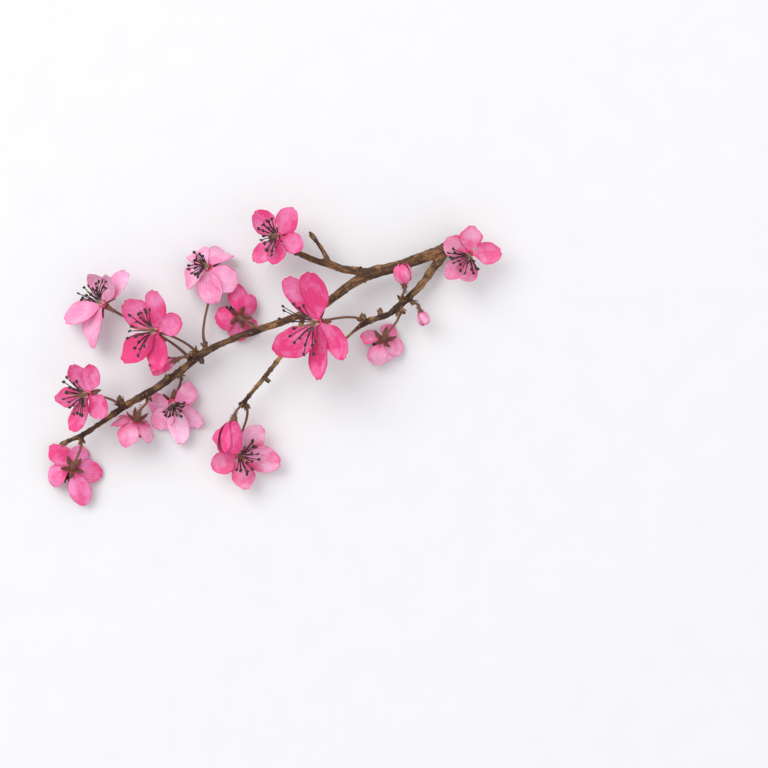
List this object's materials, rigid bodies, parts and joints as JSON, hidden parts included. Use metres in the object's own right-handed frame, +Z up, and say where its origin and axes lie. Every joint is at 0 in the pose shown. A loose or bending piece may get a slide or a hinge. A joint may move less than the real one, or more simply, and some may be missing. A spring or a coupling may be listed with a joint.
{
  "type": "cherry blossom sprig",
  "caption": "Cut cherry branchlet lying on its side, with twigs, open five-petalled blossoms on thin stalks, a half-open blossom and buds.",
  "frame": {"origin": "centre of the sprig's box, on the table plane that it lies on", "axes": "+X along the sprig from its tip to its cut end, +Z up from the table, +Y completes the right-handed frame"},
  "size_m": [0.2064, 0.1362, 0.0422],
  "materials": {
    "bark": "thin brown bark with pale lenticels",
    "stalk": "soft green-brown stalk, cup and sepals",
    "petal_deep": "thin deep pink petal, darker rim and base",
    "petal_mid": "thin mid pink petal, darker rim",
    "petal_pale": "thin pale pink petal",
    "stamen": "thin dark filaments with near-black anthers",
    "pistil": "olive style and stigma"
  },
  "bodies": {
    "root": {"branch": "bark", "blossom_01_calyx": "stalk", "blossom_01_petals": "petal_deep", "blossom_01_stamens": "stamen", "blossom_01_pistil": "pistil", "blossom_02_calyx": "stalk", "blossom_02_petals": "petal_deep", "blossom_02_stamens": "stamen", "blossom_02_pistil": "pistil", "blossom_03_calyx": "stalk", "blossom_03_petals": "petal_pale", "blossom_03_stamens": "stamen", "blossom_03_pistil": "pistil", "blossom_04_calyx": "stalk", "blossom_04_petals": "petal_mid", "blossom_04_stamens": "stamen", "blossom_05_calyx": "stalk", "blossom_05_petals": "petal_pale", "blossom_05_stamens": "stamen", "blossom_05_pistil": "pistil", "blossom_06_calyx": "stalk", "blossom_06_petals": "petal_deep", "blossom_06_stamens": "stamen", "blossom_06_pistil": "pistil", "blossom_07_calyx": "stalk", "blossom_07_petals": "petal_pale", "blossom_07_stamens": "stamen", "blossom_07_pistil": "pistil", "blossom_08_calyx": "stalk", "blossom_08_petals": "petal_deep", "blossom_08_stamens": "stamen", "blossom_08_pistil": "pistil", "blossom_09_calyx": "stalk", "blossom_09_petals": "petal_deep", "blossom_09_stamens": "stamen", "blossom_09_pistil": "pistil", "blossom_10_calyx": "stalk", "blossom_10_petals": "petal_mid", "blossom_10_stamens": "stamen", "blossom_10_pistil": "pistil", "blossom_11_calyx": "stalk", "blossom_11_petals": "petal_deep", "blossom_11_stamens": "stamen", "blossom_11_pistil": "pistil", "blossom_12_calyx": "stalk", "blossom_12_petals": "petal_mid", "blossom_12_stamens": "stamen", "blossom_13_calyx": "stalk", "blossom_13_petals": "petal_mid", "blossom_13_stamens": "stamen", "blossom_13_pistil": "pistil", "bud_1_calyx": "stalk", "bud_1_petals": "petal_deep", "bud_2_calyx": "stalk", "bud_2_petals": "petal_deep", "bud_3_calyx": "stalk", "bud_3_petals": "petal_mid", "bud_4_calyx": "stalk", "bud_4_petals": "petal_mid"}
  },
  "joints": []
}
